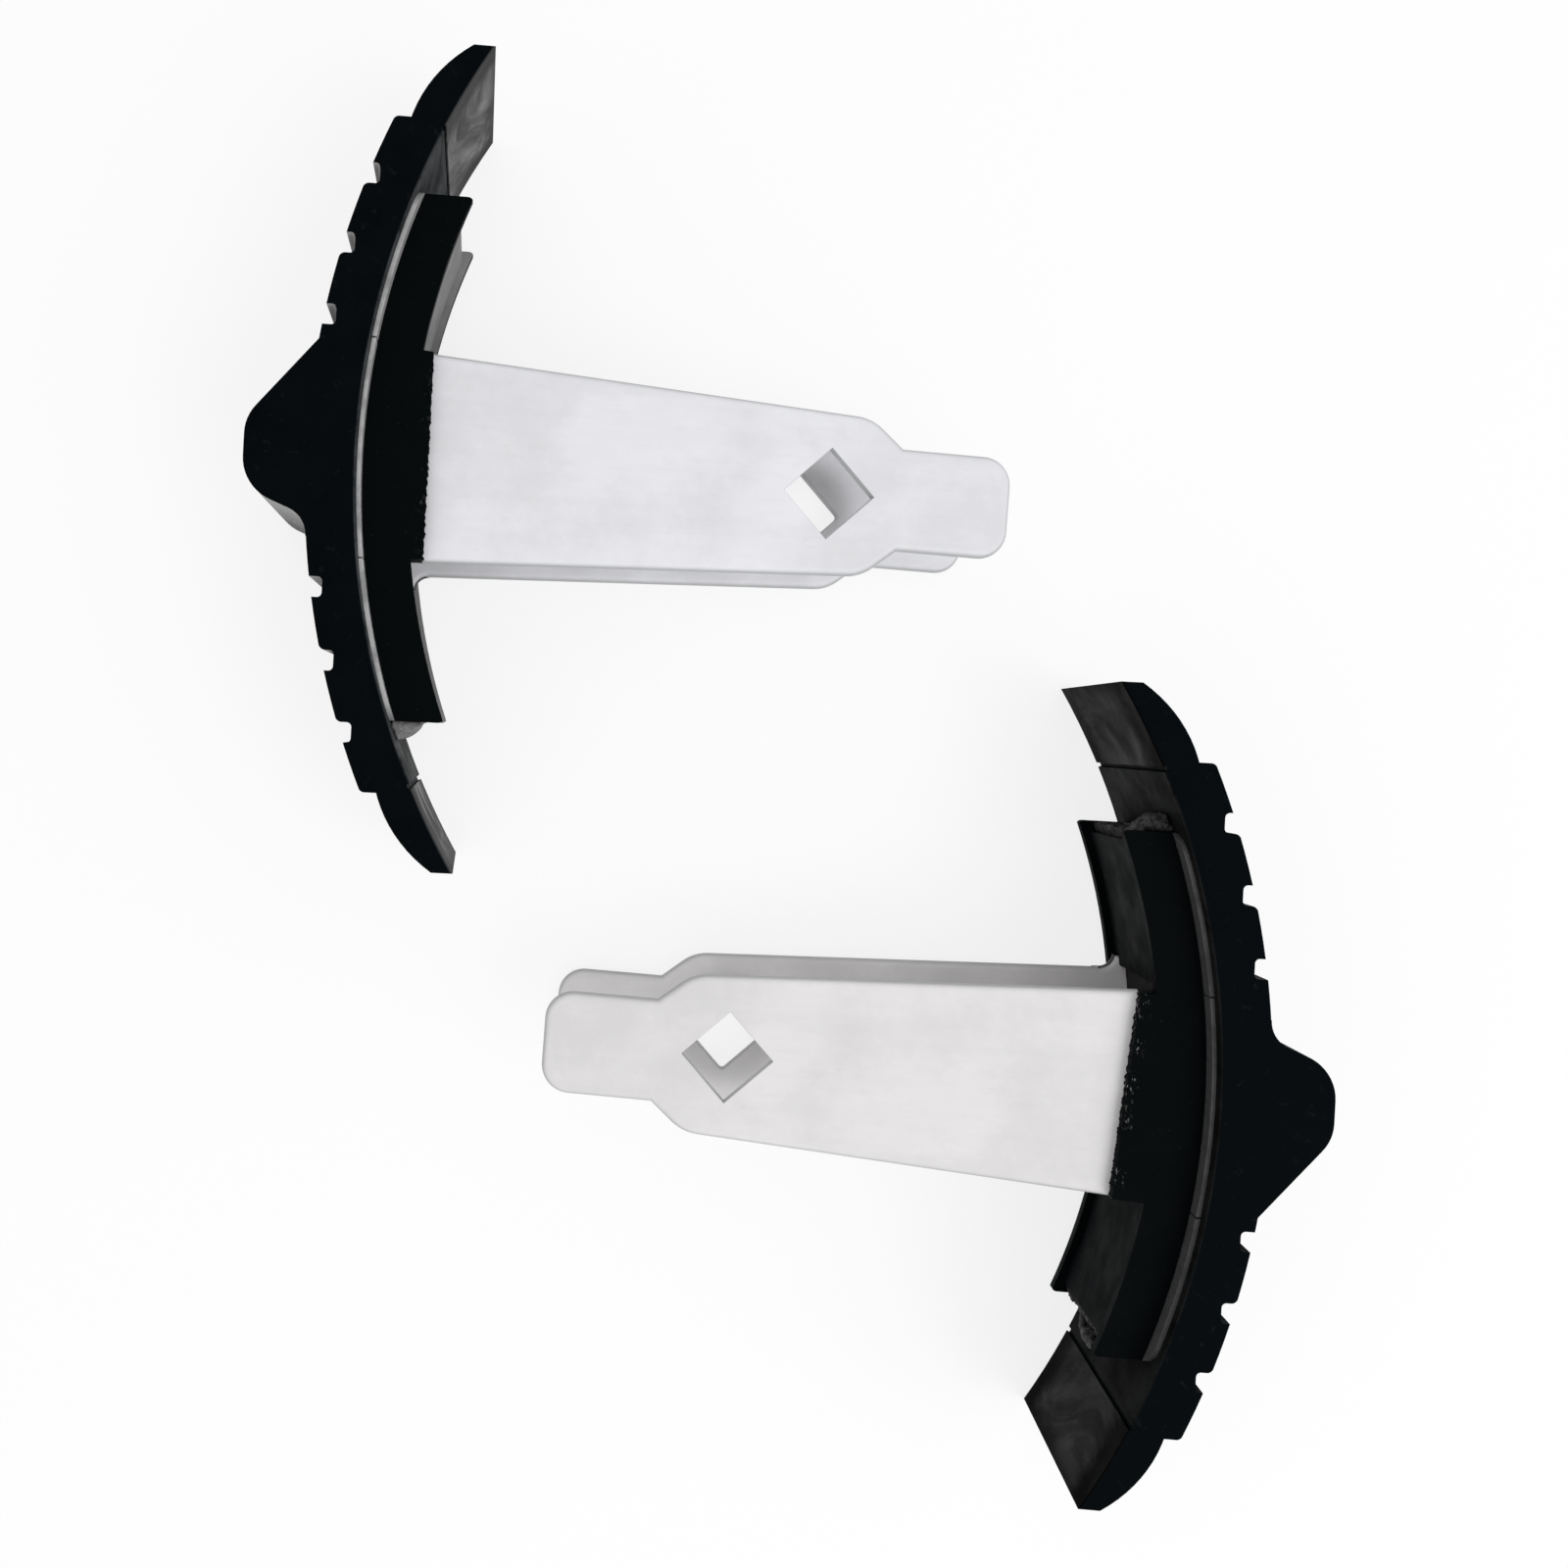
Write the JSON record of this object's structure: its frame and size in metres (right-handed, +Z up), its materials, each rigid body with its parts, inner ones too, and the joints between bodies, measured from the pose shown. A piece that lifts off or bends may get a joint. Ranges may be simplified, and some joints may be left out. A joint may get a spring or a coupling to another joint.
{
  "type": "skate blade guards",
  "caption": "Matching curved, lugged black shoes, each on a light arm of two spaced plates with a square hole near its tab, resting on tips and tab.",
  "frame": {"origin": "on the floor under the middle of the pair", "axes": "+Z up from the floor that the pair rests on; +X to the right, roughly along the left shoe's arm; +Y along the bands, away from the viewer's feet"},
  "size_m": [0.373, 0.4896, 0.0894],
  "materials": {
    "tread_rubber": "satin",
    "flange_skin": "satin",
    "base_steel": "dull",
    "arm_paint": "satin",
    "core_filler": "matte"
  },
  "bodies": {
    "root": {"left_tread": "tread_rubber", "left_base_upper": "base_steel", "left_base_middle": "base_steel", "left_base_lower": "base_steel", "left_top_flange": "flange_skin", "left_bottom_flange": "flange_skin", "left_top_arm_plate": "arm_paint", "left_bottom_arm_plate": "arm_paint", "left_web_upper": "flange_skin", "left_web_lower": "flange_skin", "left_core": "core_filler", "right_tread": "tread_rubber", "right_base_upper": "base_steel", "right_base_middle": "base_steel", "right_base_lower": "base_steel", "right_top_flange": "flange_skin", "right_bottom_flange": "flange_skin", "right_top_arm_plate": "arm_paint", "right_bottom_arm_plate": "arm_paint", "right_web_upper": "flange_skin", "right_web_lower": "flange_skin", "right_core": "core_filler"}
  },
  "joints": []
}
